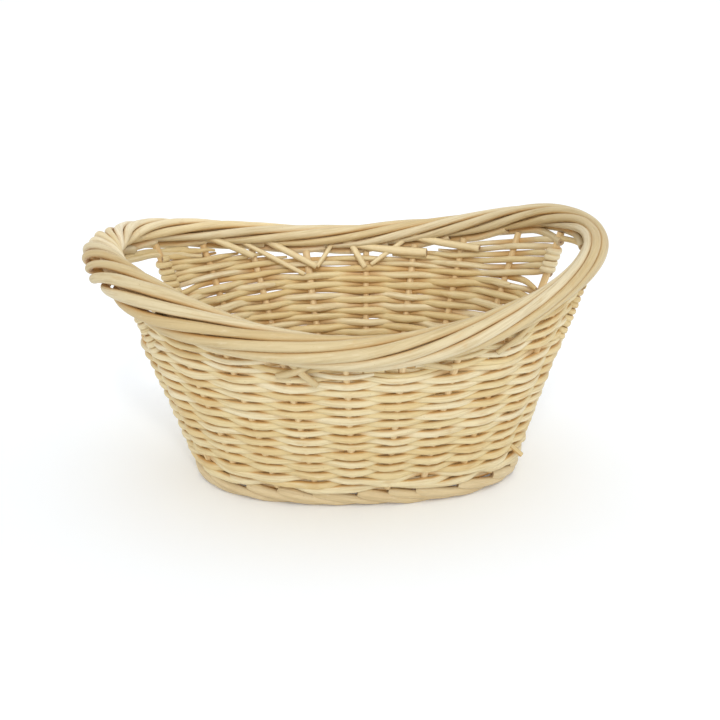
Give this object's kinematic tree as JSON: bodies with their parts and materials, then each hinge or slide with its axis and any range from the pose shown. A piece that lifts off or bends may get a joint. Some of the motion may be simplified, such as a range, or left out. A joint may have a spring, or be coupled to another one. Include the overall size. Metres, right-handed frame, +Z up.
{
  "type": "woven fruit basket",
  "caption": "Oval open fruit basket woven from peeled willow rods, with a rope-wrapped rim raised over a hand hole at each end.",
  "frame": {"origin": "on the surface the basket stands on, below the centre of the basket's outline", "axes": "+Z up, +X along the basket's length towards the higher hand hole, -Y towards the front side"},
  "size_m": [0.3988, 0.301, 0.2002],
  "materials": {
    "willow_stakes": "satin",
    "willow_base": "satin",
    "willow_foot": "satin",
    "willow_rim": "satin",
    "willow_weavers": "satin"
  },
  "bodies": {
    "root": {"base_cross_sticks": "willow_stakes", "base_long_sticks": "willow_stakes", "base_weave": "willow_base", "foot_border_rods": "willow_foot", "side_stakes": "willow_stakes", "handle_posts": "willow_stakes", "hand_hole_stakes": "willow_stakes", "wale_row_1": "willow_weavers", "wale_row_2": "willow_weavers", "wale_row_3": "willow_weavers", "siding_row_01": "willow_weavers", "siding_row_02": "willow_weavers", "siding_row_03": "willow_weavers", "siding_row_04": "willow_weavers", "siding_row_05": "willow_weavers", "siding_row_06": "willow_weavers", "siding_row_07": "willow_weavers", "siding_row_08": "willow_weavers", "siding_row_09": "willow_weavers", "siding_row_10": "willow_weavers", "siding_row_11": "willow_weavers", "siding_row_12": "willow_weavers", "siding_row_13": "willow_weavers", "siding_row_14": "willow_weavers", "siding_row_15": "willow_weavers", "siding_row_16": "willow_weavers", "siding_row_17": "willow_weavers", "siding_row_18": "willow_weavers", "siding_row_19": "willow_weavers", "siding_row_20": "willow_weavers", "siding_row_21": "willow_weavers", "siding_row_22": "willow_weavers", "top_row_back": "willow_weavers", "top_row_front": "willow_weavers", "corner_packing_back_right": "willow_weavers", "corner_packing_back_left": "willow_weavers", "corner_packing_front_left": "willow_weavers", "corner_packing_front_right": "willow_weavers", "hand_hole_lacing": "willow_weavers", "rim_core": "willow_rim", "rim_rods_back": "willow_rim", "rim_rods_left_handle": "willow_rim", "rim_rods_front": "willow_rim", "rim_rods_right_handle": "willow_rim"}
  },
  "joints": []
}
